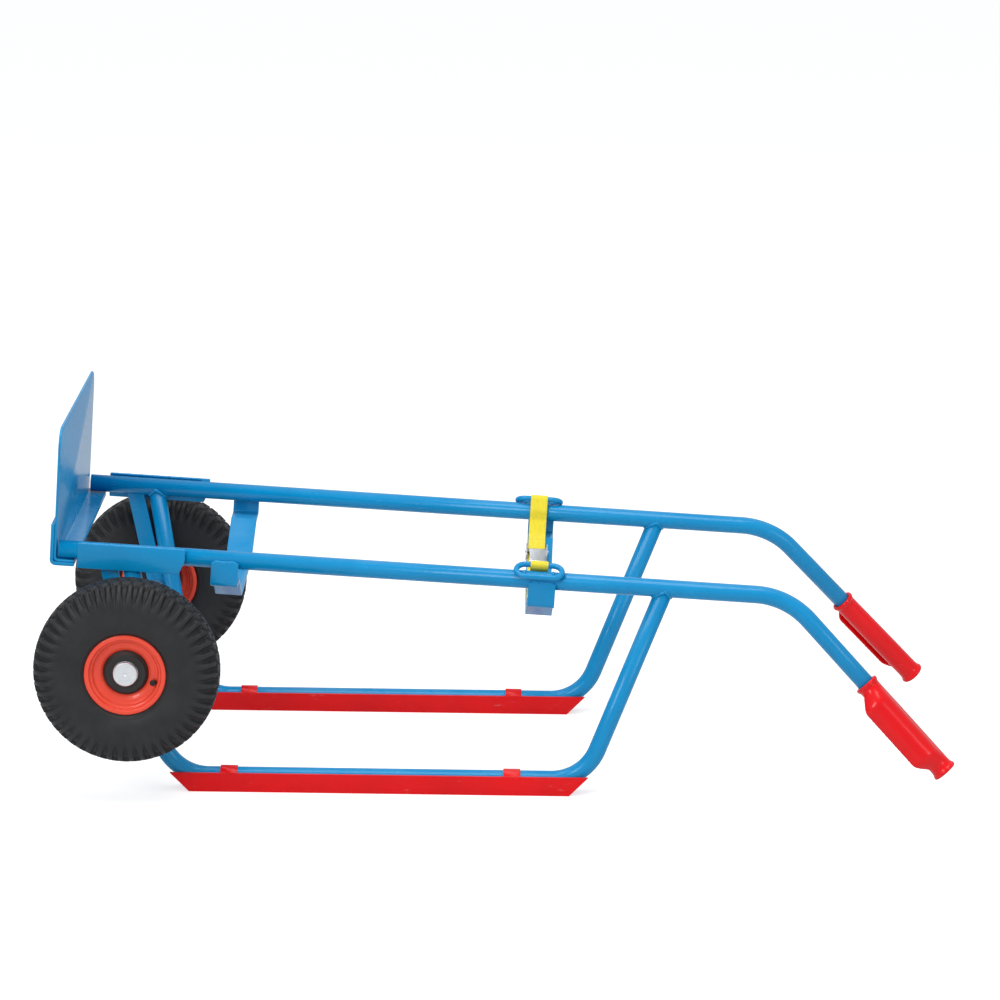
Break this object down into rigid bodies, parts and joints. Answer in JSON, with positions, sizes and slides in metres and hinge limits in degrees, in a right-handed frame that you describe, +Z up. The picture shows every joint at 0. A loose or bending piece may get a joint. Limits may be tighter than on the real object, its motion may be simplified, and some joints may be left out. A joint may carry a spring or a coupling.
{
  "type": "drum dolly",
  "caption": "Tubular steel truck that carries a drum on two rails and lies on skids as a dispensing cradle, with a toe plate, pneumatic wheels, guarded grips and a cam-buckle strap.",
  "frame": {"origin": "on the floor under the middle of the overall length and width, with the truck lying on its skids", "axes": "+X from the wheels to the grips, +Y to the right of someone holding the grips, +Z up"},
  "size_m": [1.2876, 0.63, 0.5175],
  "materials": {
    "frame_paint": "glossy powder coat",
    "shoe_plastic": "moulded, glossy",
    "grip_plastic": "moulded, glossy",
    "tyre_rubber": "moulded rubber, satin",
    "tube_rubber": "smooth rubber",
    "rim_paint": "glossy enamel",
    "hub_plastic": "moulded, matte",
    "cap_plastic": "moulded, matte",
    "bearing_steel": "ground",
    "zinc_plate": "zinc plated",
    "buckle_plate": "zinc plated, satin",
    "spring_steel": "drawn wire",
    "webbing": "woven polyester"
  },
  "bodies": {
    "frame": {"rail_left": "frame_paint", "rail_right": "frame_paint", "skid_tube_left": "frame_paint", "skid_tube_right": "frame_paint", "heel_angle": "frame_paint", "toe_plate": "frame_paint", "rail_plate_left": "frame_paint", "rail_plate_right": "frame_paint", "cradle_bar_front": "frame_paint", "cradle_bar_rear": "frame_paint", "strap_eye_left": "frame_paint", "strap_eye_right": "frame_paint", "axle": "zinc_plate", "axle_stay_left": "frame_paint", "axle_stay_right": "frame_paint", "axle_washers": "zinc_plate", "axle_cap_left": "zinc_plate", "axle_cap_right": "zinc_plate", "skid_shoe_left": "shoe_plastic", "skid_shoe_right": "shoe_plastic", "grip_left": "grip_plastic", "grip_right": "grip_plastic", "strap_webbing": "webbing", "strap_anchor": "webbing", "strap_roll": "webbing", "buckle_body": "buckle_plate", "buckle_pin": "buckle_plate", "buckle_spring": "spring_steel"},
    "wheel_left": {"tyre_left": "tyre_rubber", "inner_tube_left": "tube_rubber", "rim_outer_left": "rim_paint", "rim_inner_left": "rim_paint", "hub_left": "hub_plastic", "bearings_left": "bearing_steel", "valve_stem_left": "tube_rubber", "valve_cap_left": "cap_plastic"},
    "wheel_right": {"tyre_right": "tyre_rubber", "inner_tube_right": "tube_rubber", "rim_outer_right": "rim_paint", "rim_inner_right": "rim_paint", "hub_right": "hub_plastic", "bearings_right": "bearing_steel", "valve_stem_right": "tube_rubber", "valve_cap_right": "cap_plastic"},
    "cam_lever": {"buckle_cam": "buckle_plate"}
  },
  "joints": [
    {"name": "wheel_left_spin", "type": "hinge", "parent": "frame", "child": "wheel_left", "pos_m": [-0.51382, -0.275, 0.188], "axis": [0, 1, 0], "continuous": true},
    {"name": "wheel_right_spin", "type": "hinge", "parent": "frame", "child": "wheel_right", "pos_m": [-0.51382, 0.275, 0.188], "axis": [0, 1, 0], "continuous": true},
    {"name": "buckle_cam_turn", "type": "hinge", "parent": "frame", "child": "cam_lever", "pos_m": [0.055, 0.14108, 0.26571], "axis": [0.9985, 0, -0.0541], "range_deg": [-60, 0], "stiffness_Nm_per_rad": 0.02, "springref_deg": 22.92}
  ]
}
